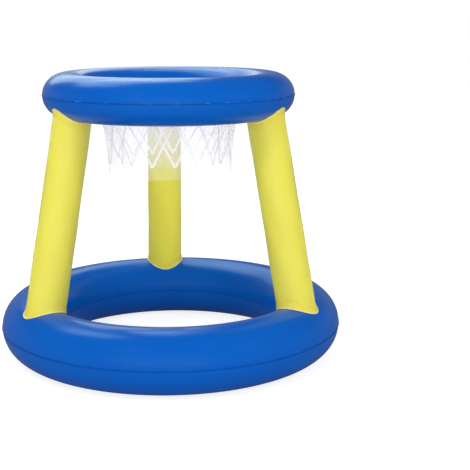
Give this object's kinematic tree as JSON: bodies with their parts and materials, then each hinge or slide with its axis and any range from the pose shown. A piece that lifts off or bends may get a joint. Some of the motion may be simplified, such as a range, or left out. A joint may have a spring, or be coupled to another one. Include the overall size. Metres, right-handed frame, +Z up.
{
  "type": "floating basketball hoop",
  "caption": "Inflatable floating basketball hoop: a wide float ring, leaning tube legs, a hoop ring and a hanging clear film with a printed net.",
  "frame": {"origin": "on the ground, under the middle of the float ring", "axes": "+Z up along the rings' common axis; -Y is the side that faces the viewer, between the left and right legs"},
  "size_m": [0.619, 0.619, 0.5075],
  "materials": {
    "blue_vinyl": "glossy royal blue vinyl sheet",
    "yellow_vinyl": "semi-gloss pale yellow vinyl sheet",
    "clear_film": "clear hazy vinyl film",
    "white_ink": "white printed ink",
    "valve_vinyl": "cloudy clear moulded vinyl"
  },
  "bodies": {
    "root": {"float_ring_upper_skin": "blue_vinyl", "float_ring_lower_skin": "blue_vinyl", "hoop_ring_upper_skin": "blue_vinyl", "hoop_ring_lower_skin": "blue_vinyl", "left_leg_tube": "yellow_vinyl", "left_leg_foot_disc": "yellow_vinyl", "left_leg_head_disc": "yellow_vinyl", "right_leg_tube": "yellow_vinyl", "right_leg_foot_disc": "yellow_vinyl", "right_leg_head_disc": "yellow_vinyl", "back_leg_tube": "yellow_vinyl", "back_leg_foot_disc": "yellow_vinyl", "back_leg_head_disc": "yellow_vinyl", "net_film": "clear_film", "net_print": "white_ink", "float_valve_base": "valve_vinyl", "hoop_valve_base": "valve_vinyl"},
    "float_stem": {"float_valve_stem": "valve_vinyl"},
    "float_cap": {"float_valve_cap": "valve_vinyl"},
    "float_flap": {"float_valve_flap": "valve_vinyl"},
    "hoop_stem": {"hoop_valve_stem": "valve_vinyl"},
    "hoop_cap": {"hoop_valve_cap": "valve_vinyl"},
    "hoop_flap": {"hoop_valve_flap": "valve_vinyl"}
  },
  "joints": [
    {"name": "float_stem_slide", "type": "slide", "parent": "root", "child": "float_stem", "axis": [-0.7483, 0.432, 0.5034], "range_m": [0, 0.013]},
    {"name": "float_cap_hinge", "type": "hinge", "parent": "float_stem", "child": "float_cap", "pos_m": [-0.26852, 0.14152, 0.08439], "axis": [0.4359, -0.2517, 0.8641], "range_deg": [0, 150]},
    {"name": "float_flap_hinge", "type": "hinge", "parent": "float_stem", "child": "float_flap", "pos_m": [-0.24946, 0.13756, 0.07361], "axis": [-0.4359, 0.2517, -0.8641], "range_deg": [0, 60], "stiffness_Nm_per_rad": 0.0002, "springref_deg": -17.19},
    {"name": "hoop_stem_slide", "type": "slide", "parent": "root", "child": "hoop_stem", "axis": [0.5646, 0.5646, 0.6021], "range_m": [0, 0.013]},
    {"name": "hoop_cap_hinge", "type": "hinge", "parent": "hoop_stem", "child": "hoop_cap", "pos_m": [0.14588, 0.16242, 0.49283], "axis": [-0.4257, -0.4257, 0.7984], "range_deg": [0, 150]},
    {"name": "hoop_flap_hinge", "type": "hinge", "parent": "hoop_stem", "child": "hoop_flap", "pos_m": [0.13811, 0.14603, 0.47994], "axis": [0.4257, 0.4257, -0.7984], "range_deg": [0, 60], "stiffness_Nm_per_rad": 0.0002, "springref_deg": -17.19}
  ]
}
